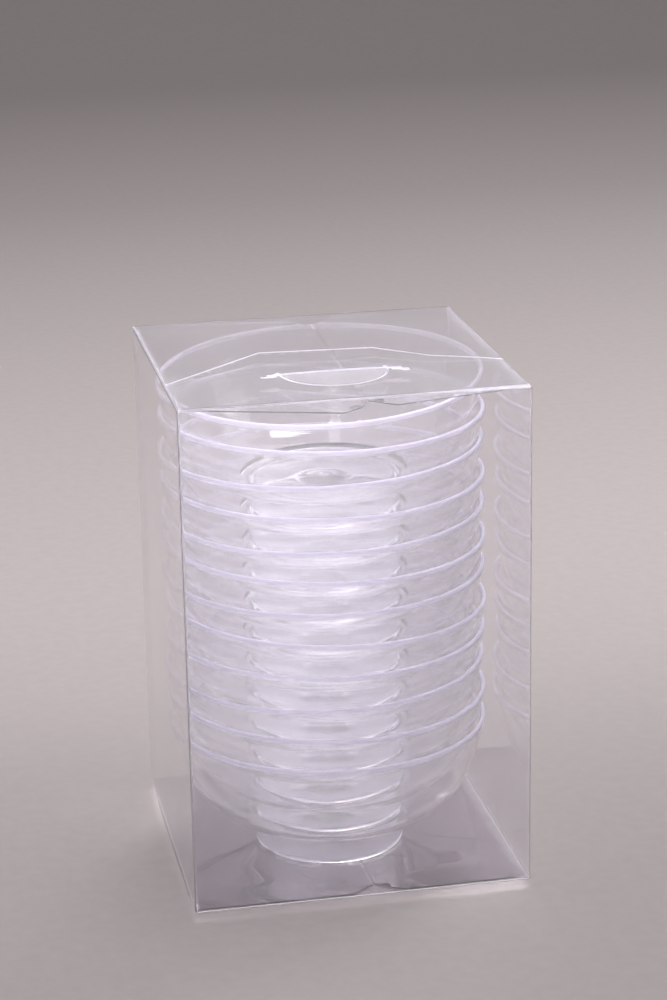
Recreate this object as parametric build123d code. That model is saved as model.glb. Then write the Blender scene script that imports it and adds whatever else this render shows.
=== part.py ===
from build123d import *
import os

# A clear folding carton that holds a nested stack of twelve clear plastic bowls.
# Origin: centre of the surface that the carton stands on. +X right, +Y back, +Z up. Millimetres and degrees.

# ---- carton ----
WIDTH = 100.0
DEPTH = 100.0
HEIGHT = 151.0  # of the walls
STAND = 2.5  # the loaded bottom closure hangs this far below the walls, and the carton stands on it
FLAT_HALF = 32.0  # half the length of its flat middle
FILM = 0.35  # thickness of the clear sheet
EDGE_GAP = 0.1  # daylight beside a cut edge
CREASE_GAP = 0.05  # daylight at a crease, so that the fold can turn
GLUE_FLAP_WIDTH = 14.0
GLUE_FLAP_INSET = 3.0  # how far the glue flap stops short of each end

# ---- end closures, the same at the top and the bottom ----
# the cut between the front and the back closing flap, from left to right
SEAM = [(-50.0, -23.0), (-18.0, 6.5), (15.5, 4.3), (30.0, -9.0), (43.0, -15.0), (50.0, -19.0)]
SEAM_GAP = 0.3
TAB_CENTRE = (-0.75, -19.5)  # middle of the tab's hinge line
TAB_RADIUS = 15.75
TAB_CLEARANCE = 0.3
NOTCH_LENGTH = 5.0  # slit that runs on from each end of the tab's hinge line
NOTCH_WIDTH = 0.5
NOTCH_TURN = 28.0  # how far each slit turns forward from the hinge line

# ---- dust flaps ----
DUST_SIDE_GAP = 1.4  # clearance to the front and back walls
DUST_CREASE_INSET = 0.35
DUST_LEFT_LENGTH = 53.3
DUST_RIGHT_LENGTH = 44.4
DUST_CORNER = 7.0
SAG_FRONT = 5.0  # how far the free end of the long flap hangs at the front edge
SAG_BACK = 1.1  # and at the back edge, where the top bowl holds it up
REST_HALF = 30.0  # the bottom ones slope down to here and then rest on the bottom closure

# ---- bowls ----
BOWL_HEIGHT = 40.7
RIM_RADIUS = 48.0
WALL = 1.15
FLOOR = 0.9
FOOT_RADIUS = 22.5
FOOT_HEIGHT = 8.0
FOOT_WALL = 1.3
LIP_RADIUS = 0.4
# outer side of the wall, as (radius, height), from the foot to the rim
WALL_POINTS = [(FOOT_RADIUS, FOOT_HEIGHT), (33.6, 12.4), (41.3, 19.7), (45.6, 30.5), (RIM_RADIUS, BOWL_HEIGHT)]
WALL_START = (1.0, 0.3)  # direction of the wall at the foot
WALL_END = (0.19, 1.0)  # and at the rim
INNER_STEPS = 7  # points of the inner side, one wall thickness inside the outer
PITCH = 9.6  # height that each nested bowl adds
STACK_SHIFT = (-0.8, -0.3)  # where the stack stands in the carton
STACK_BASE = 1.05  # height of the lowest foot, just clear of the bottom dust flaps
LEAN_HEIGHT = 22.5  # height in a bowl of the point that it leans about
# how each bowl leans in its nest, from the lowest: right side up, back side up, extra lift
LEANS = [
    (-0.4, 0.0, 0.0),
    (-0.6, 0.2, 0.0),
    (1.3, 0.3, 0.1),
    (-0.1, -0.2, 0.0),
    (-1.5, 0.2, 0.0),
    (0.3, 0.1, 0.1),
    (-0.7, 0.2, 0.0),
    (0.9, 0.7, 0.0),
    (0.0, 0.4, 0.0),
    (1.5, 0.3, 0.0),
    (-0.1, 0.4, 0.3),
    (1.8, 2.8, 1.0),
]

half_w = WIDTH / 2
half_d = DEPTH / 2
inner_x = half_w - FILM
inner_y = half_d - FILM
top = STAND + HEIGHT


def block(x, y, z):
    """A box between two limits along each axis."""
    size = [high - low for low, high in (x, y, z)]
    middle = [(high + low) / 2 for low, high in (x, y, z)]
    return Pos(*middle) * Box(*size)


def column(outline):
    """An upright column with the given outline, taller than the carton, to cut film with."""
    return Pos(0, 0, -HEIGHT) * extrude(make_face(outline), 3 * HEIGHT)


# ---- walls ----
def walls():
    """The four walls, each a flat panel between two creases, and the glue flap."""
    full = (STAND, top)
    return {
        "front_wall": block((-half_w, half_w), (-half_d, -inner_y), full),
        "back_wall": block((-half_w, half_w), (inner_y, half_d), full),
        "left_wall": block((-half_w, -inner_x), (-inner_y, inner_y), full),
        "right_wall": block((inner_x, half_w), (-inner_y, inner_y), full),
        "glue_flap": block(
            (-inner_x, -inner_x + FILM),
            (inner_y - GLUE_FLAP_WIDTH, inner_y),
            (STAND + GLUE_FLAP_INSET, top - GLUE_FLAP_INSET),
        ),
    }


# ---- closing flaps ----
def seam_line(shift):
    """The seam's points, clipped to the space between the side walls and moved along Y."""
    side = inner_x - EDGE_GAP
    (ax, ay), (bx, by) = SEAM[:2]
    (cx, cy), (dx, dy) = SEAM[-2:]
    left = (-side, ay + (by - ay) * (-side - ax) / (bx - ax) + shift)
    right = (side, cy + (dy - cy) * (side - cx) / (dx - cx) + shift)
    return [left] + [(x, y + shift) for x, y in SEAM[1:-1]] + [right]


def closing_layer(end):
    """The layer that an end's closing film lies in: flat at the top, hanging in the middle at the bottom."""
    if end == "top":
        return block((-half_w, half_w), (-half_d, half_d), (top - FILM, top))
    line = [(-inner_y, STAND), (-FLAT_HALF, 0), (FLAT_HALF, 0), (inner_y, STAND)]
    line += [(y, z + FILM) for y, z in reversed(line)]
    return extrude(Plane.YZ * make_face(Polyline(*line, close=True)), half_w, both=True)


def half_moon(radius, back):
    """The tab's outline: a half disc in front of its hinge line, starting a little in front of it."""
    x, y = TAB_CENTRE
    y = y - back
    edge = Line((x - radius, y), (x + radius, y))
    arc = ThreePointArc((x + radius, y), (x, y - radius), (x - radius, y))
    return column(edge + arc)


def notches():
    """The two slits that run on from the ends of the tab's hinge line."""
    cuts = []
    for side in (-1, 1):
        start = Pos(TAB_CENTRE[0] + side * TAB_RADIUS, TAB_CENTRE[1], 0)
        slit = Pos(side * NOTCH_LENGTH / 2, 0, 0) * Box(NOTCH_LENGTH, NOTCH_WIDTH, 3 * HEIGHT)
        cuts.append(start * Rot(0, 0, -side * NOTCH_TURN) * slit)
    return cuts


def closure(end):
    """The front flap, the back flap and the thumb tab of one end of the carton."""
    side = inner_x - EDGE_GAP
    front_y = -(inner_y - CREASE_GAP)
    back_y = inner_y - CREASE_GAP
    layer = closing_layer(end)
    front_line = [(-side, front_y)] + seam_line(-SEAM_GAP / 2) + [(side, front_y)]
    back_line = [(-side, back_y)] + seam_line(SEAM_GAP / 2) + [(side, back_y)]
    front = layer & column(Polyline(*front_line, close=True))
    back = layer & column(Polyline(*back_line, close=True))
    front -= half_moon(TAB_RADIUS, 0)
    for cut in notches():
        front -= cut
    tab = layer & half_moon(TAB_RADIUS - TAB_CLEARANCE, CREASE_GAP)
    return {end + "_front_flap": front, end + "_back_flap": back, end + "_thumb_tab": tab}


# ---- dust flaps ----
def dust_flap(side, length, sections):
    """A dust flap creased along a side wall.

    Each section is a y and the heights of the film's top at the crease, at the bend and at the free end.
    """
    hinge_x = side * (inner_x - DUST_CREASE_INSET)
    end_x = hinge_x - side * length
    stations = (hinge_x, side * REST_HALF, end_x)
    faces = []
    for y, heights in sections:
        line = list(zip(stations, heights))
        line += [(x, z - FILM) for x, z in reversed(line)]
        faces.append(make_face(Polyline(*[(x, y, z) for x, z in line], close=True)))
    flap = loft(faces[:2], ruled=True)
    for pair in zip(faces[1:], faces[2:]):
        flap += loft(list(pair), ruled=True)
    for y in (sections[0][0], sections[-1][0]):
        flap -= Pos(end_x, y, 0) * Rot(0, 0, 45) * Box(DUST_CORNER * 2**0.5, DUST_CORNER * 2**0.5, 3 * HEIGHT)
    return flap


def top_dust_flap(side, length, sag_front, sag_back):
    """A dust flap under the lid. Its free end hangs lower at the front edge than at the back."""
    level = top - FILM - EDGE_GAP
    edge = inner_y - DUST_SIDE_GAP
    bend = (inner_x - DUST_CREASE_INSET - REST_HALF) / length
    sections = [(y, (level, level - sag * bend, level - sag)) for y, sag in ((-edge, sag_front), (edge, sag_back))]
    return dust_flap(side, length, sections)


def bottom_dust_flap(side, length):
    """A dust flap that slopes down from its side wall and rests on the hanging bottom closure."""
    low = 2 * FILM + EDGE_GAP
    edge = inner_y - DUST_SIDE_GAP
    rise = STAND * (edge - FLAT_HALF) / (inner_y - FLAT_HALF)
    sections = []
    for y, lift in ((-edge, rise), (-FLAT_HALF, 0), (FLAT_HALF, 0), (edge, rise)):
        sections.append((y, (low + STAND, low + lift, low + lift)))
    return dust_flap(side, length, sections)


def dust_flaps():
    """Two dust flaps under the top closing flaps and two on the bottom closing flaps."""
    share = DUST_RIGHT_LENGTH / DUST_LEFT_LENGTH
    return {
        "top_left_dust_flap": top_dust_flap(-1, DUST_LEFT_LENGTH, SAG_FRONT, SAG_BACK),
        "top_right_dust_flap": top_dust_flap(1, DUST_RIGHT_LENGTH, SAG_FRONT * share, SAG_BACK * share),
        "bottom_left_dust_flap": bottom_dust_flap(-1, DUST_LEFT_LENGTH),
        "bottom_right_dust_flap": bottom_dust_flap(1, DUST_RIGHT_LENGTH),
    }


# ---- bowls ----
def bowl():
    """One bowl: a foot ring, a flat floor and a wall that curves up to a nearly upright rim."""
    outer = Spline(*WALL_POINTS, tangents=[WALL_START, WALL_END])
    inner_points = []
    for step in range(1, INNER_STEPS + 1):
        at = step / INNER_STEPS
        along = outer % at
        inner_points.append(outer @ at + Vector(-along.Y, along.X) * WALL)
    floor_top = FOOT_HEIGHT + FLOOR
    inner_floor = (FOOT_RADIUS + 2.2, floor_top)
    inner = Spline(inner_floor, *inner_points, tangents=[(1, 0), WALL_END])
    foot_inside = FOOT_RADIUS - FOOT_WALL
    outline = outer + inner + Polyline(
        inner_floor, (0, floor_top), (0, FOOT_HEIGHT), (foot_inside, FOOT_HEIGHT), (foot_inside, 0),
        (FOOT_RADIUS, 0), (FOOT_RADIUS, FOOT_HEIGHT),
    )
    rim = Line(outer @ 1, inner @ 1)
    return revolve(Plane.XZ * make_face(outline + rim), Axis.Z)


def stack():
    """The nested bowls, numbered from the lowest, each leaning a little in the one below."""
    one = bowl()
    lip = one.edges().filter_by(GeomType.CIRCLE).sort_by(Axis.Z)[-2:]
    one = fillet(lip, LIP_RADIUS)
    placed = {}
    for number, (right_up, back_up, lift) in enumerate(LEANS):
        base = STACK_BASE + PITCH * number + lift
        lean = Pos(*STACK_SHIFT, base + LEAN_HEIGHT) * Rot(back_up, -right_up, 0)
        placed[f"bowl_{number + 1:02d}"] = lean * Pos(0, 0, -LEAN_HEIGHT) * one
    return placed


os.makedirs("parts", exist_ok=True)
pieces = walls()
pieces.update(closure("top"))
pieces.update(closure("bottom"))
pieces.update(dust_flaps())
pieces.update(stack())
for name, piece in pieces.items():
    export_step(piece, f"parts/{name}.step")
    print(name, round(piece.volume, 1))
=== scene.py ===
from math import cos, pi, radians, sin, sqrt, tau

import bpy
import numpy as np
from mathutils import Matrix, Vector, noise
from mathutils.geometry import delaunay_2d_cdt


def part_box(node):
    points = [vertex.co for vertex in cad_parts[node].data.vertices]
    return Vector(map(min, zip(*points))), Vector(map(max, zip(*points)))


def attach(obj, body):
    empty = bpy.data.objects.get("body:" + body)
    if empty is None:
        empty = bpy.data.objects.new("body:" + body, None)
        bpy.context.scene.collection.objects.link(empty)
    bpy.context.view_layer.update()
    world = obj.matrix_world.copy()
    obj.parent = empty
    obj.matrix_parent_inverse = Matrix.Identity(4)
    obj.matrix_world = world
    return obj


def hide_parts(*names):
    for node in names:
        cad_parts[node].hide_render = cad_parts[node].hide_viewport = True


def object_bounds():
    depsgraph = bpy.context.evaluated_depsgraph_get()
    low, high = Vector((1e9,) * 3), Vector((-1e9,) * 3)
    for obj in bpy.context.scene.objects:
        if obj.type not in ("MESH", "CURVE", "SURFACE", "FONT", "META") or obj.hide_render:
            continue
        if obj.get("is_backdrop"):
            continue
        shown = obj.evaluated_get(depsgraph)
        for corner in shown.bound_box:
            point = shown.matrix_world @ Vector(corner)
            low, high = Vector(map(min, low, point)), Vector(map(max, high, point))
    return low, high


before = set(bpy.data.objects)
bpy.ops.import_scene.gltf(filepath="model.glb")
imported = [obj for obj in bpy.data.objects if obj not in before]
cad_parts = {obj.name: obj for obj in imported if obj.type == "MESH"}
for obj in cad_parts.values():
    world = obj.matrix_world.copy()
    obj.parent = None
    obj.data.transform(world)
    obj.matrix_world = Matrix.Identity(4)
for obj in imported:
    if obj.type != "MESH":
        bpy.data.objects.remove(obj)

# A clear folding carton with a nested stack of clear bowls. Metres, in the CAD model's frame.
MM = 0.001
cad_low, cad_high = (Vector(corner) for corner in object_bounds())

FILM = 0.35 * MM  # thickness of the carton's sheet
FOLD_RADIUS = 0.9 * MM  # outside radius of the creases between the walls
CORNER_TURN = radians(43.5)  # each wall carries almost half of the turn at a corner
BOW = 0.45 * MM  # how far a wall bellies out in its middle
RIPPLE = 0.16 * MM  # height of the sheet's gentle waves
RIPPLE_LENGTH = 42 * MM
GRID = 2.5 * MM  # spacing of a wall's mesh
SHARP = radians(40)  # edges that turn more than this stay sharp

WIDTH = cad_high.x - cad_low.x
half = WIDTH / 2
wall_low, wall_high = (corner[2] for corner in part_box("front_wall"))
HEIGHT = wall_high - wall_low
wall_middle = (wall_low + wall_high) / 2
STAND = wall_low - cad_low.z  # how far the loaded bottom hangs below the walls
FLAT_HALF = 32 * MM  # half the length of the bottom's flat middle
REST_HALF = 30 * MM  # the bottom dust flaps slope down to here from the side walls
INNER = half - FILM


# ---- helpers ----
def new_object(name, mesh):
    """An object for a mesh, lamp or camera, linked to the scene."""
    made = bpy.data.objects.new(name, mesh)
    bpy.context.scene.collection.objects.link(made)
    return made


def mesh_from(name, verts, faces):
    """A mesh from points and faces."""
    mesh = bpy.data.meshes.new(name)
    mesh.from_pydata([tuple(v) for v in verts], [], faces)
    mesh.validate()
    mesh.update()
    return mesh


def thickened(made, thickness):
    """Makes the object's surface a closed sheet, centred on it, with its cut edges in material slot 1."""
    modifier = made.modifiers.new("sheet", "SOLIDIFY")
    modifier.thickness = thickness
    modifier.offset = 0
    modifier.use_even_offset = False
    modifier.material_offset_rim = 1
    made.data.materials.append(None)
    made.data.materials.append(None)
    bpy.context.view_layer.update()
    evaluated = made.evaluated_get(bpy.context.evaluated_depsgraph_get())
    solid = bpy.data.meshes.new_from_object(evaluated)
    made.modifiers.clear()
    made.data = solid
    solid.shade_smooth()
    solid.set_sharp_from_angle(angle=SHARP)


def ripple(point, seed):
    """The height of the sheet's gentle waves at a point."""
    at = point / RIPPLE_LENGTH + Vector((seed * 7.3, seed * 3.1, seed * 5.7))
    return RIPPLE * noise.noise(at)


def mapped(tree, value, from_low, from_high, to_low=0.0, to_high=1.0):
    """The output of a node that maps one range of a value onto another."""
    node = tree.nodes.new("ShaderNodeMapRange")
    node.inputs["From Min"].default_value = from_low
    node.inputs["From Max"].default_value = from_high
    node.inputs["To Min"].default_value = to_low
    node.inputs["To Max"].default_value = to_high
    tree.links.new(value, node.inputs["Value"])
    return node.outputs["Result"]


# ---- materials ----
IOR = 1.5
LAVENDER = (0.94, 0.915, 0.95, 1)
VIOLET = (0.84, 0.78, 1.0, 1)
FULL_VIOLET = 0.3  # plastic that is whitened this much has a wholly violet haze
DULLING = 1.4  # roughness that whitening adds, as a multiple of the whitening
CLEAR = (0.99, 0.985, 1.0, 1)


def clear_plastic(name, tint, haze, haze_colour, fine, whitens=True, painted_glow=0.0, shade=0.97):
    """Clear glossy plastic with clouds of faint haze, more where its mesh is marked as whitened.

    Lamps reach what is behind it: shadow rays pass, dimmed to shade. fine is the scale of the clouds. A glow,
    if given, is an emission added to the surface: a painted highlight.
    """
    material = bpy.data.materials.new(name)
    material.use_nodes = True
    tree = material.node_tree
    tree.nodes.clear()

    def node(kind, **values):
        made = tree.nodes.new(kind)
        for key, value in values.items():
            setattr(made, key, value)
        return made

    def link(a, b):
        tree.links.new(a, b)

    def mixed(share, first, second):
        """Two shaders mixed. share is a number or a node's output."""
        mix = node("ShaderNodeMixShader")
        if isinstance(share, float):
            mix.inputs["Fac"].default_value = share
        else:
            link(share, mix.inputs["Fac"])
        link(first, mix.inputs[1])
        link(second, mix.inputs[2])
        return mix.outputs[0]

    place = node("ShaderNodeTexCoord")
    cloud = node("ShaderNodeTexNoise")
    cloud.inputs["Scale"].default_value = fine
    cloud.inputs["Detail"].default_value = 5
    link(place.outputs["Object"], cloud.inputs["Vector"])
    rough = mapped(tree, cloud.outputs["Fac"], 0.35, 0.75, 0.0, 0.05)
    amount = mapped(tree, cloud.outputs["Fac"], 0.3, 0.8, haze * 0.5, haze * 1.5)
    glass = node("ShaderNodeBsdfPrincipled")
    glass.inputs["Base Color"].default_value = tint
    glass.inputs["IOR"].default_value = IOR
    glass.inputs["Transmission Weight"].default_value = 1
    milk = node("ShaderNodeBsdfTranslucent")
    milk.inputs["Color"].default_value = haze_colour
    white = node("ShaderNodeBsdfDiffuse")
    white.inputs["Color"].default_value = haze_colour
    if whitens:  # rims and creases are hazier and duller, and gather a violet tone
        marked = node("ShaderNodeAttribute", attribute_name="whitened").outputs["Fac"]
        toned = node("ShaderNodeMixRGB")
        toned.inputs["Color1"].default_value = haze_colour
        toned.inputs["Color2"].default_value = VIOLET
        link(mapped(tree, marked, 0.0, FULL_VIOLET), toned.inputs["Fac"])
        link(toned.outputs["Color"], milk.inputs["Color"])
        link(toned.outputs["Color"], white.inputs["Color"])
        dull = node("ShaderNodeMath", operation="MULTIPLY_ADD")
        dull.inputs[1].default_value = DULLING
        link(marked, dull.inputs[0])
        link(rough, dull.inputs[2])
        rough = dull.outputs[0]
        more = node("ShaderNodeMath", operation="MAXIMUM")
        link(amount, more.inputs[0])
        link(marked, more.inputs[1])
        amount = more.outputs[0]
    link(rough, glass.inputs["Roughness"])
    body = mixed(amount, glass.outputs[0], mixed(0.5, milk.outputs[0], white.outputs[0]))
    if painted_glow:  # painted highlight: the cut edge glows by an emission, standing in for light caught along the edge
        lit = node("ShaderNodeEmission")
        lit.inputs["Color"].default_value = haze_colour
        lit.inputs["Strength"].default_value = painted_glow
        added = node("ShaderNodeAddShader")
        link(body, added.inputs[0])
        link(lit.outputs[0], added.inputs[1])
        body = added.outputs[0]
    path = node("ShaderNodeLightPath")
    shadow = node("ShaderNodeBsdfTransparent")
    shadow.inputs["Color"].default_value = (shade, shade, shade, 1)
    out = node("ShaderNodeOutputMaterial")
    link(mixed(path.outputs["Is Shadow Ray"], body, shadow.outputs[0]), out.inputs["Surface"])
    return material


film_material = clear_plastic("carton_film", CLEAR, 0.028, LAVENDER, 35)
# painted shade: the film of the bottom, which lies on the table, is tinted darker and lets less lamp light
# through, standing in for the shade under the loaded carton
painted_shade_film_material = clear_plastic("carton_film_painted_shade", (0.71, 0.685, 0.725, 1), 0.01, LAVENDER, 35, shade=0.9)
# cut edges: hazier film with a painted highlight, an emission glow along the edge
painted_glow_edge_material = clear_plastic(
    "carton_cut_edge_painted_glow", (0.92, 0.91, 1.0, 1), 0.7, (0.95, 0.93, 1.0, 1), 60, whitens=False, painted_glow=0.3
)
bowl_material = clear_plastic("bowl_plastic", CLEAR, 0.036, (0.80, 0.785, 0.81, 1), 55)


def mark_whitened(mesh, whiten):
    """Marks how whitened each point of a mesh is. whiten gives it, from 0 to 1, at a place."""
    marks = mesh.attributes.new("whitened", "FLOAT", "POINT")
    marks.data.foreach_set("value", [whiten(v.co) for v in mesh.vertices])


BENT_EDGE = 0.7 * MM


def finish_film(made, whiten, film, edge):
    """Gives a film piece its materials and marks how whitened each point is."""
    mesh = made.data
    mesh.materials[0] = film
    mesh.materials[1] = edge
    for face in mesh.polygons:  # the sheet isn't cut where it bends into a wall
        if abs(face.center.y) > half - BENT_EDGE:
            face.material_index = 0
    mark_whitened(mesh, whiten)


# ---- carton walls ----
CREASE_STEPS = 5
CREASE_BAND = 0.9 * MM  # the creases round a wall are whitened this far from their edge


def wall_samples(length, radius, step):
    """Distances along a wall from its middle, dense at its two rounded ends."""
    flat = length / 2 - radius
    count = int(2 * flat / step)
    samples = [-flat + 2 * flat * i / count for i in range(count + 1)]
    arc = [radius * CORNER_TURN * i / CREASE_STEPS for i in range(1, CREASE_STEPS + 1)]
    return [-flat - a for a in reversed(arc)] + samples + [flat + a for a in arc]


def wall_point(across, up, outward, side, seed):
    """A point on a wall's middle surface. across and up run along the sheet; outward is the wall's normal."""
    radius = FOLD_RADIUS - FILM / 2

    def turned(distance, reach):
        flat = reach - FOLD_RADIUS
        over = abs(distance) - flat
        if over <= 0:
            return distance, 0.0
        angle = over / FOLD_RADIUS
        along = flat + radius * sin(angle)
        return (along if distance > 0 else -along), radius * (1 - cos(angle))

    along, fall = turned(across, half)
    high, drop = turned(up, HEIGHT / 2)
    fade = cos(pi * across / WIDTH) * cos(pi * up / HEIGHT)
    belly = BOW * fade + ripple(Vector((across, up, 0)), seed) * min(1, 4 * fade)
    depth = half - FILM / 2 - max(fall, drop) + belly
    return side * along + outward * depth + Vector((0, 0, wall_middle + high))


def wall(name, outward, seed):
    """One wall of the carton, slightly bellied, with rounded creases round its edges."""
    side = Vector((0, 0, 1)).cross(outward)
    columns = wall_samples(WIDTH, FOLD_RADIUS, GRID)
    rows = wall_samples(HEIGHT, FOLD_RADIUS, GRID * 1.5)
    verts = [wall_point(a, u, outward, side, seed) for u in rows for a in columns]
    wide = len(columns)
    faces = []
    for r in range(len(rows) - 1):
        for c in range(wide - 1):
            k = r * wide + c
            faces.append((k, k + 1, k + wide + 1, k + wide))
    made = new_object(name + "_sheet", mesh_from(name, verts, faces))
    thickened(made, FILM)

    def whiten(co):  # from nothing at the foot of the wall to 0.4 at its head
        near = min(half - abs(co.dot(side)), HEIGHT / 2 - abs(co.z - wall_middle))
        strong = 0.2 + 0.4 * (co.z - wall_middle) / HEIGHT
        return strong * max(0.0, 1 - near / CREASE_BAND)

    finish_film(made, whiten, film_material, film_material)
    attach(made, "carton")
    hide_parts(name)


walls = {
    "front_wall": Vector((0, -1, 0)),
    "right_wall": Vector((1, 0, 0)),
    "back_wall": Vector((0, 1, 0)),
    "left_wall": Vector((-1, 0, 0)),
}
for seed, (node, outward) in enumerate(walls.items()):
    wall(node, outward, seed + 1)


# ---- flat film pieces: closing flaps, tabs, dust flaps, glue flap ----
EDGE_ROW = 0.45 * MM  # a second row of points lies this far inside each cut edge


def inside(point, polygon):
    """True if a point is inside a closed polygon."""
    x, y = point
    hit = False
    for (ax, ay), (bx, by) in zip(polygon, polygon[1:] + polygon[:1]):
        if (ay > y) != (by > y) and x < ax + (bx - ax) * (y - ay) / (by - ay):
            hit = not hit
    return hit


def on_sheet(at, outline, holes):
    """True if a point is inside the outline and in none of the holes."""
    return inside(at, outline) and not any(inside(at, hole) for hole in holes)


def densified(polygon, step):
    """The polygon with extra points along its long sides."""
    out = []
    for (ax, ay), (bx, by) in zip(polygon, polygon[1:] + polygon[:1]):
        parts = max(1, round(sqrt((bx - ax) ** 2 + (by - ay) ** 2) / step))
        out += [(ax + (bx - ax) * i / parts, ay + (by - ay) * i / parts) for i in range(parts)]
    return out


def edge_row(loop, outline, holes):
    """Points just inside a cut edge."""
    row = []
    for before, b, after in zip(loop[-1:] + loop[:-1], loop, loop[1:] + loop[:1]):
        along = (Vector(after) - Vector(before)).normalized()
        for turn in (1, -1):
            at = (b[0] - turn * along.y * EDGE_ROW, b[1] + turn * along.x * EDGE_ROW)
            if on_sheet(at, outline, holes):
                row.append(at)
    return row


def cut_sheet(name, outline, holes, place, step):
    """A piece of film with the given outline and holes. place turns a flat point into one in space."""
    loops = [densified(loop, step * 0.6) for loop in [outline] + holes]
    points, edges = [], []
    for loop in loops:
        first = len(points)
        points += loop
        edges += [(first + i, first + (i + 1) % len(loop)) for i in range(len(loop))]
    low_x, high_x = min(p[0] for p in outline), max(p[0] for p in outline)
    low_y, high_y = min(p[1] for p in outline), max(p[1] for p in outline)
    for j in range(int((high_y - low_y) / step) + 1):
        for i in range(int((high_x - low_x) / step) + 1):
            at = (low_x + (i + 0.5) * step, low_y + (j + 0.5) * step)
            near = min((at[0] - p[0]) ** 2 + (at[1] - p[1]) ** 2 for loop in loops for p in loop)
            if near > (0.35 * step) ** 2 and on_sheet(at, outline, holes):
                points.append(at)
    for loop in loops:
        points += edge_row(loop, outline, holes)
    result = delaunay_2d_cdt([Vector(p) for p in points], edges, [], 0, 1e-7)
    flat, triangles = result[0], result[2]
    kept = []
    for t in triangles:
        middle = sum((flat[k] for k in t), Vector((0, 0))) / 3
        if on_sheet(middle, outline, holes):
            kept.append(tuple(t))
    made = new_object(name + "_sheet", mesh_from(name, [place(Vector(p)) for p in flat], kept))
    thickened(made, FILM)
    return made


def film_piece(made, body, node, whiten, edge=film_material):
    """Declares a film piece: its materials, the body it rides on and the CAD node it stands for."""
    # the bottom's pieces take the film tinted darker, painted shade under the carton
    if node.startswith("bottom"):
        finish_film(made, whiten, painted_shade_film_material, painted_shade_film_material)
    else:
        finish_film(made, whiten, film_material, edge)
    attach(made, body)
    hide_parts(node)


# the outlines of the closing flaps, as on the CAD model, in mm
SEAM = [(-50.0, -23.0), (-18.0, 6.5), (15.5, 4.3), (30.0, -9.0), (43.0, -15.0), (50.0, -19.0)]
SEAM_GAP = 0.15
SIDE = 49.5
HINGE = 49.55
TAB = Vector((-0.75, -19.5))  # the middle of the thumb tab's fold
TAB_RADIUS = 15.75
TAB_CLEARANCE = 0.4
TAB_AHEAD = 0.25  # how far the tab's straight edge is set forward of its fold, so that it can turn
TAB_STEPS = 24
SLIT_LENGTH = 5.0  # a slit runs on from each end of the tab's fold
SLIT_HALF = 0.3
SLIT_TURN = radians(28)
ARCH = 0.3  # how far the sheet arches up over the tab's fold
ARCH_HALF = 17.0
ARCH_DEPTH = 6.0
ARCH_BEHIND = 1.5


def mm(points):
    """Points given in mm, in metres."""
    return [(x * MM, y * MM) for x, y in points]


def seam(shift):
    """The line where the two closing flaps meet, from side to side, moved along Y."""
    (ax, ay), (bx, by) = SEAM[:2]
    (cx, cy), (dx, dy) = SEAM[-2:]
    left = (-SIDE, ay + (by - ay) * (-SIDE - ax) / (bx - ax) + shift)
    right = (SIDE, cy + (dy - cy) * (SIDE - cx) / (dx - cx) + shift)
    return [left] + [(x, y + shift) for x, y in SEAM[1:-1]] + [right]


def moon(radius, ahead):
    """The half disc's outline, from its left end round the front to its right end."""
    steps = [pi + pi * i / TAB_STEPS for i in range(TAB_STEPS + 1)]
    return [(TAB.x + radius * cos(a), TAB.y - ahead + radius * sin(a)) for a in steps]


def tab_hole():
    """The hole for the tab, with the slit at each end of its fold."""
    left, right = Vector((TAB.x - TAB_RADIUS, TAB.y)), Vector((TAB.x + TAB_RADIUS, TAB.y))
    reach_x, reach_y = SLIT_LENGTH * cos(SLIT_TURN), SLIT_LENGTH * sin(SLIT_TURN)
    loop = [(left.x - reach_x, left.y - reach_y), (left.x, left.y - 2 * SLIT_HALF)]
    loop += moon(TAB_RADIUS, 0)[1:-1]
    loop += [(right.x, right.y - 2 * SLIT_HALF), (right.x + reach_x, right.y - reach_y)]
    return loop + [(right.x, right.y + SLIT_HALF), (left.x, left.y + SLIT_HALF)]


def off_line(at, line):
    """Distance of a flat point from a line of points."""
    best = 1e9
    for a, b in zip(line, line[1:]):
        a, b = Vector(a), Vector(b)
        share = max(0.0, min(1.0, (at - a).dot(b - a) / (b - a).length_squared))
        best = min(best, (at - a - (b - a) * share).length)
    return best


def cut_white(co):
    """How whitened the film is where it was cut: along the seam, the tab's arc, its fold and its slits."""
    at = Vector((co.x, co.y)) / MM
    if off_line(at, SEAM) < 0.3:
        return 0.4 - 0.3 * noise.noise(Vector((at.x / 9, at.y / 9, 0)))
    from_tab = at - TAB
    if abs(from_tab.y) < 0.4 and abs(from_tab.x) < TAB_RADIUS + 0.5:
        return 0.6
    if from_tab.y < 0 and abs(from_tab.length - TAB_RADIUS) < 0.35:
        return 0.22
    past = abs(from_tab.x) - TAB_RADIUS
    if 0 < past < SLIT_LENGTH and abs(from_tab.y + 0.53 * past) < 0.9:
        return 0.6
    return 0.0


def swell(x, y):
    """How far the closing flaps stand above flat: the sheet arches over the tab's fold."""
    away = ((x - TAB.x) / ARCH_HALF) ** 2
    return ARCH * max(0.0, 1 - away) * np.exp(-(((y - TAB.y - ARCH_BEHIND) / ARCH_DEPTH) ** 2))


def hang(y):
    """Height of the loaded bottom's underside: flat in the middle, rising to the walls with soft bends."""
    over = (abs(y) - FLAT_HALF) / (INNER - FLAT_HALF)
    soft = 0.12
    return STAND * (over + sqrt(over * over + soft * soft) - (sqrt(1 + soft * soft) - 1) * max(0, over)) / 2


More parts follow.
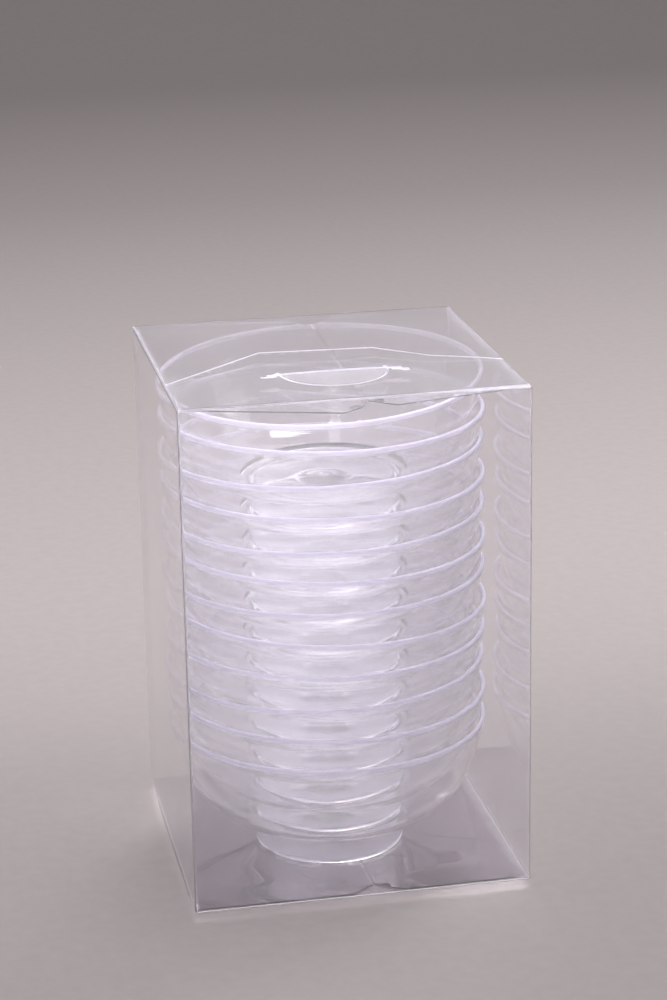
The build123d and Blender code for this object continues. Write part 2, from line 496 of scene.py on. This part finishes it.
def closing_end(end):
    """The two closing flaps of the top or the bottom, with the thumb tab cut out of the front one."""
    at_top = end == "top"

    def place(p):
        near_hinge = max(0.0, FOLD_RADIUS - (half - abs(p.y)))
        roll = near_hinge * near_hinge / (2 * FOLD_RADIUS)
        if not at_top:
            return Vector((p.x, p.y, hang(p.y) + FILM / 2 + roll))
        wave = 0.6 * ripple(Vector((p.x, p.y, 0)), 11) * min(1.0, (half - abs(p.y)) / (8 * MM))
        rise = swell(p.x / MM, p.y / MM) * MM
        return Vector((p.x, p.y, wall_high + rise + wave - FILM / 2 - roll))

    def flap_white(co):  # the front crease's whitened band widens towards its right end
        rightward = max(0.0, (co.x - 0.3 * half) / (0.7 * half)) if co.y < 0 else 0.0
        band = (1.1 + 3.5 * rightward) * MM
        crease = 0.36 * max(0.0, 1 - (half - abs(co.y)) / band)
        return max(crease, cut_white(co)) if at_top else 0.1 * crease

    def tab_white(co):
        return max(0.12, cut_white(co)) if at_top else 0.0

    front_line = mm([(-SIDE, -HINGE)] + seam(-SEAM_GAP) + [(SIDE, -HINGE)])
    back_line = mm([(-SIDE, HINGE)] + seam(SEAM_GAP) + [(SIDE, HINGE)])
    tab_line = mm(moon(TAB_RADIUS - TAB_CLEARANCE, TAB_AHEAD))
    for piece, line, holes, step, whiten in (
        ("_front_flap", front_line, [mm(tab_hole())], 2 * MM, flap_white),
        ("_back_flap", back_line, [], 2.4 * MM, flap_white),
        ("_thumb_tab", tab_line, [], 1.4 * MM, tab_white),
    ):
        node = end + piece
        film_piece(cut_sheet(node, line, holes, place, step), node, node, whiten, painted_glow_edge_material)


CHAMFER = 7 * MM  # at the free corners of the dust flaps
BACK_SAG = 0.22  # sag of a top dust flap's tip at the back, as a share of that at the front


def dust_flap(node, body, side):
    """A dust flap, creased along a side wall. The top ones sag; the bottom ones rest on the closing flaps."""
    low, high = (Vector(corner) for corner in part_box(node))
    root_x, tip_x = (low.x, high.x) if side < 0 else (high.x, low.x)
    inset_x = tip_x + side * CHAMFER
    line = [(root_x, low.y), (inset_x, low.y), (tip_x, low.y + CHAMFER)]
    line += [(tip_x, high.y - CHAMFER), (inset_x, high.y), (root_x, high.y)]
    level = high.z - FILM / 2
    fall = high.z - low.z - FILM
    ease = 0.78 if side > 0 else 0.95  # clear of the top bowl's rim when it's lifted

    def place(p):
        if node.startswith("bottom"):
            near = min(1.0, abs(p.x - root_x) / (abs(root_x) - REST_HALF))
            return Vector((p.x, p.y, level - near * (STAND - hang(p.y))))
        out = (p.x - root_x) / (tip_x - root_x)
        back = (p.y - low.y) / (high.y - low.y)
        sag = ease * fall * (1 - (1 - BACK_SAG) * back) * out
        return Vector((p.x, p.y, level - sag + 0.15 * ripple(Vector((p.x, p.y, 0)), 21) * out))

    def whiten(co):
        return 0.2 * max(0.0, 1 - abs(co.x - root_x) / MM)

    film_piece(cut_sheet(node, line, [], place, 3 * MM), body, node, whiten)


def glue_flap():
    """The strip inside the left wall that joins the sheet into a tube, with cut-back ends."""
    low, high = (Vector(corner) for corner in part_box("glue_flap"))
    cut_back = 6 * MM
    line = [(low.y, low.z + cut_back), (low.y, high.z - cut_back), (high.y, high.z), (high.y, low.z)]

    def place(p):
        return Vector((low.x + 0.6 * FILM, p.x - 0.4 * MM, p.y))

    film_piece(cut_sheet("glue_flap", line, [], place, 4 * MM), "carton", "glue_flap", lambda co: 0.0)


closing_end("top")
closing_end("bottom")
dust_flap("top_left_dust_flap", "top_left_dust_flap", -1)
dust_flap("top_right_dust_flap", "top_right_dust_flap", 1)
dust_flap("bottom_left_dust_flap", "carton", -1)
dust_flap("bottom_right_dust_flap", "carton", 1)
glue_flap()


# ---- bowls ----
# the wall's outer side from the foot to the rim, as shares of the rim's radius and of the bowl's height
WALL_LINE = [(0.46875, 0.1966), (0.7, 0.3047), (0.8604, 0.484), (0.95, 0.7494), (1.0, 1.0)]
WALL_START = (1, 0.3)  # the wall's direction at the foot and at the rim
WALL_END = (0.19, 1)
BOWL_WALL = 1.15 * MM
BOWL_FLOOR = 0.9 * MM
FOOT_WALL = 1.3 * MM
FLOOR_OUT = 2.2 * MM  # the floor runs on this far past the foot before the wall rises
LIP = 0.5 * MM
FOOT_ROUND = 0.4 * MM
NUB = 1.5 * MM  # radius of the gate mark in the middle of the underside
SEGMENTS = 180


def axis_of(node):
    """A bowl's own frame (its axis as Z, its origin under the middle of the foot), radius and height."""
    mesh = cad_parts[node].data
    mesh.calc_loop_triangles()
    points = np.array([v.co for v in mesh.vertices])
    corners = points[np.array([t.vertices for t in mesh.loop_triangles])]
    crosses = np.cross(corners[:, 1] - corners[:, 0], corners[:, 2] - corners[:, 0])
    areas = np.linalg.norm(crosses, axis=1) / 2
    middles = corners.mean(axis=1)
    centre = (middles * areas[:, None]).sum(axis=0) / areas.sum()
    spread = (middles - centre).T @ ((middles - centre) * areas[:, None])
    vectors = np.linalg.eigh(spread)[1]
    axis = Vector(vectors[:, np.abs(vectors[2]).argmax()])
    axis = axis if axis.z > 0 else -axis
    along = (points - centre) @ np.array(axis)
    radial = np.linalg.norm((points - centre) - along[:, None] * np.array(axis), axis=1)
    origin = Vector(centre) + axis * along.min()
    turn = Vector((0, 0, 1)).rotation_difference(axis).to_matrix().to_4x4()
    return Matrix.Translation(origin) @ turn, radial.max(), along.max() - along.min()


def smooth_line(points, start, end, steps):
    """A smooth curve through points, with its directions at both ends."""
    points = [Vector(p) for p in points]
    lengths = [(b - a).length for a, b in zip(points, points[1:])]
    slopes = [Vector(start).normalized()]
    for k in range(1, len(points) - 1):
        slopes.append((points[k + 1] - points[k - 1]) / (lengths[k] + lengths[k - 1]))
    slopes.append(Vector(end).normalized())
    out = [points[0]]
    for k, length in enumerate(lengths):
        a, b = points[k], points[k + 1]
        m, n = slopes[k] * length, slopes[k + 1] * length
        for i in range(1, steps + 1):
            t = i / steps
            out.append(
                a * (2 * t**3 - 3 * t**2 + 1) + m * (t**3 - 2 * t**2 + t)
                + b * (3 * t**2 - 2 * t**3) + n * (t**3 - t**2)
            )
    return out


def rounded(corner, before, after, radius, steps=4):
    """Points round a corner, a quadratic curve from the side of before to the side of after."""
    a = corner + (before - corner).normalized() * radius
    b = corner + (after - corner).normalized() * radius
    shares = [i / steps for i in range(steps + 1)]
    return [a * (1 - t) ** 2 + corner * 2 * t * (1 - t) + b * t * t for t in shares]


def bowl_profile(rim, height):
    """The bowl's section from the middle of its underside round the rim to the middle of its floor."""
    wall_points = [(r * rim, z * height) for r, z in WALL_LINE]
    outer = smooth_line(wall_points, WALL_START, WALL_END, 9)
    foot, foot_top = wall_points[0]
    inner_side = []
    for k, point in enumerate(outer):
        a, b = outer[max(k - 1, 0)], outer[min(k + 1, len(outer) - 1)]
        along = (b - a).normalized()
        inner_side.append(point + Vector((-along.y, along.x)) * BOWL_WALL)
    in_x = foot - FOOT_WALL
    line = [Vector((0, foot_top - 0.5 * MM)), Vector((NUB * 0.8, foot_top - 0.5 * MM))]
    line += [Vector((NUB, foot_top - 0.3 * MM)), Vector((NUB * 1.3, foot_top))]
    line.append(Vector((foot * 0.5, foot_top)))
    inner_top, inner_low = Vector((in_x, foot_top)), Vector((in_x, 0))
    outer_low, outer_top = Vector((foot, 0)), Vector((foot, foot_top))
    line += rounded(inner_top, Vector((0, foot_top)), inner_low, 0.6 * MM)
    line += rounded(inner_low, inner_top, outer_low, FOOT_ROUND)
    line += rounded(outer_low, inner_low, outer_top, FOOT_ROUND)
    line += rounded(outer_top, outer_low, outer[3], 0.5 * MM)
    line += outer[2:-2]
    line += rounded(outer[-1], outer[-2], inner_side[-1], LIP)
    line += rounded(inner_side[-1], outer[-1], inner_side[-2], LIP)
    floor = foot_top + BOWL_FLOOR
    line += [p for p in reversed(inner_side[:-2]) if p.x > foot + FLOOR_OUT and p.y > floor + 0.05 * MM]
    line += [Vector((x, floor)) for x in (foot + FLOOR_OUT, foot + 0.8 * MM, foot * 0.5, NUB * 1.5)]
    return line + [Vector((NUB * 0.9, floor - 0.15 * MM)), Vector((0, floor - 0.2 * MM))]


def bowl_white(at, rim, height):
    """How whitened a bowl is at a place in its own frame: on its lip, its foot ring and round the floor."""
    foot = WALL_LINE[0][0] * rim
    radius = sqrt(at.x * at.x + at.y * at.y)
    lip = 0.65 * max(0.0, 1 - (height - at.z) / (0.95 * MM))
    if at.z < 0.45 * MM:
        frosted = 0.19
    elif abs(radius - foot) < 3 * MM and at.z > 0.14 * height:
        frosted = 0.055
    elif foot - 1.5 * FOOT_WALL < radius < foot + 0.2 * MM and at.z < 0.17 * height:
        frosted = 0.054
    else:
        frosted = 0.0
    return max(frosted, min(0.38, lip))


def bowl(node):
    """One bowl, turned about its own axis, which leans as the CAD bowl's does."""
    place, rim, height = axis_of(node)
    profile = bowl_profile(rim, height)
    rings = profile[1:-1]
    spokes = [tau * k / SEGMENTS for k in range(SEGMENTS)]
    verts = [place @ Vector((0, 0, profile[0].y))]
    for r, z in rings:
        verts += [place @ Vector((r * cos(a), r * sin(a), z)) for a in spokes]
    verts.append(place @ Vector((0, 0, profile[-1].y)))
    last = len(verts) - 1
    faces = []
    for k in range(SEGMENTS):
        n = (k + 1) % SEGMENTS
        faces.append((0, 1 + n, 1 + k))
        for j in range(len(rings) - 1):
            a, b = 1 + j * SEGMENTS, 1 + (j + 1) * SEGMENTS
            faces.append((a + k, a + n, b + n, b + k))
        a = 1 + (len(rings) - 1) * SEGMENTS
        faces.append((a + k, a + n, last))
    mesh = mesh_from(node, verts, faces)
    mesh.shade_smooth()
    mesh.materials.append(bowl_material)
    back = place.inverted()
    mark_whitened(mesh, lambda co: bowl_white(back @ co, rim, height))
    made = new_object(node + "_turned", mesh)
    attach(made, node)
    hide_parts(node)


for node in sorted(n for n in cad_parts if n.startswith("bowl_")):
    bowl(node)


# ---- stage: floor and backdrop in one sweep ----
NEAR, FAR = -4.0, 1.5  # the floor's ends along Y
BEND = 0.5  # radius of the bend up into the backdrop
TOP = 2.2
SIDE_REACH = 4.0
PAPER = (0.405, 0.367, 0.369)
PAINTED_PALE_TOP = (0.62, 0.60, 0.62, 1)  # the backdrop's upper part, painted paler: painted light
PAINTED_LIGHT_FROM, PAINTED_LIGHT_TO = -0.1, 1.9  # painted light and shade: the paper is painted lighter or darker in bands along Y, for the lamps' fall of light and the shade round the carton
PAINTED_LIGHT_BANDS = [(0.0, 0.50), (0.06, 0.54), (0.12, 0.77), (0.2, 0.84), (0.36, 0.71), (0.46, 0.66), (0.56, 0.545)]
PAINTED_LIGHT_BANDS += [(0.77, 0.49), (1.0, 0.37)]


def paper_with_painted_light():
    """Matt paper, faintly mottled, with painted light and shade in bands along Y that fade into a backdrop
    painted paler above.
    """
    paper = bpy.data.materials.new("paper")
    paper.use_nodes = True
    tree = paper.node_tree
    shader = tree.nodes["Principled BSDF"]
    shader.inputs["Roughness"].default_value = 0.75
    place = tree.nodes.new("ShaderNodeTexCoord")
    parts = tree.nodes.new("ShaderNodeSeparateXYZ")
    tree.links.new(place.outputs["Object"], parts.inputs[0])
    # painted light and shade: the paper's colour in bands along Y
    ramp = tree.nodes.new("ShaderNodeValToRGB")
    ramp.color_ramp.interpolation = "B_SPLINE"
    for k, (at, value) in enumerate(PAINTED_LIGHT_BANDS):
        stop = ramp.color_ramp.elements[k] if k < 2 else ramp.color_ramp.elements.new(at)
        stop.position = at
        stop.color = [value * c for c in PAPER] + [1]
    tree.links.new(mapped(tree, parts.outputs["Y"], PAINTED_LIGHT_FROM, PAINTED_LIGHT_TO), ramp.inputs["Fac"])
    grain = tree.nodes.new("ShaderNodeTexNoise")
    grain.inputs["Scale"].default_value = 220
    grain.inputs["Detail"].default_value = 6
    tree.links.new(place.outputs["Object"], grain.inputs["Vector"])
    painted = tree.nodes.new("ShaderNodeVectorMath")
    painted.operation = "SCALE"
    tree.links.new(ramp.outputs["Color"], painted.inputs[0])
    tree.links.new(mapped(tree, grain.outputs["Fac"], 0.0, 1.0, 0.93, 1.07), painted.inputs["Scale"])
    # painted light: the backdrop is painted paler higher up
    pale = tree.nodes.new("ShaderNodeMixRGB")
    pale.inputs["Color2"].default_value = PAINTED_PALE_TOP
    tree.links.new(mapped(tree, parts.outputs["Z"], 0.35, 0.9), pale.inputs["Fac"])
    tree.links.new(painted.outputs[0], pale.inputs["Color1"])
    tree.links.new(pale.outputs["Color"], shader.inputs["Base Color"])
    return paper


def stage():
    """A pale floor that curves up into a backdrop well behind the carton."""
    line = [(NEAR + (FAR - NEAR) * i / 20, 0.0) for i in range(21)]
    bends = [pi / 2 * i / 16 for i in range(1, 17)]
    line += [(FAR + BEND * sin(a), BEND * (1 - cos(a))) for a in bends]
    line += [(FAR + BEND, BEND + (TOP - BEND) * i / 8) for i in range(1, 9)]
    verts, faces = [], []
    for y, z in line:
        verts += [(-SIDE_REACH, y, z), (SIDE_REACH, y, z)]
    for k in range(len(line) - 1):
        faces.append((2 * k, 2 * k + 1, 2 * k + 3, 2 * k + 2))
    sweep = new_object("sweep", mesh_from("sweep", verts, faces))
    sweep.data.shade_smooth()
    sweep.data.materials.append(paper_with_painted_light())
    sweep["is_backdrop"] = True


stage()


# ---- lights ----
def softbox(name, place, aim, size, power, colour=(1, 1, 1)):
    """A rectangular area light that looks at a point."""
    data = bpy.data.lights.new(name, "AREA")
    data.shape = "RECTANGLE"
    data.size, data.size_y = size
    data.energy = power
    data.color = colour
    lamp = new_object(name, data)
    lamp.location = place
    lamp.rotation_euler = (Vector(aim) - Vector(place)).to_track_quat("-Z", "Y").to_euler()


centre = Vector((0, 0, wall_middle))
softbox("overhead", (0.31, 0.37, 1.52), (0, 0.28, 0), (0.3, 0.4), 22, (1.0, 0.985, 0.97))
softbox("key", (-0.45, -1.1, 0.75), centre, (0.22, 0.7), 3.0, (1.0, 0.99, 0.98))
softbox("kicker", (-0.95, -1.0, 0.85), centre, (0.12, 0.12), 2.0)
softbox("fill", (1.2, -0.5, 0.7), centre, (0.8, 0.9), 6.5)

world = bpy.data.worlds.new("studio")
bpy.context.scene.world = world
world.use_nodes = True
world.node_tree.nodes["Background"].inputs["Color"].default_value = (0.62, 0.59, 0.61, 1)
world.node_tree.nodes["Background"].inputs["Strength"].default_value = 1.1

# ---- camera ----
AZIMUTH = radians(-10.845)
ELEVATION = radians(17.542)
ROLL = radians(-1.076)
DISTANCE = 7.958 * WIDTH
TARGET = Vector((0.0239 * WIDTH, 0, 1.0607 * WIDTH + STAND))
LENS = 96.2

back = Vector((sin(AZIMUTH) * cos(ELEVATION), -cos(AZIMUTH) * cos(ELEVATION), sin(ELEVATION)))
camera = new_object("camera", bpy.data.cameras.new("camera"))
camera.data.lens = LENS
camera.data.sensor_width = 36
camera.data.clip_start = 0.05
camera.location = TARGET + back * DISTANCE
camera.rotation_euler = (back.to_track_quat("Z", "Y").to_matrix() @ Matrix.Rotation(ROLL, 3, "Z")).to_euler()
scene = bpy.context.scene
scene.camera = camera
scene.view_settings.view_transform = "Standard"
scene.cycles.max_bounces = 48
scene.cycles.transmission_bounces = 48
scene.cycles.transparent_max_bounces = 64
scene.cycles.glossy_bounces = 8
scene.cycles.diffuse_bounces = 3
scene.cycles.caustics_reflective = False
scene.cycles.caustics_refractive = True
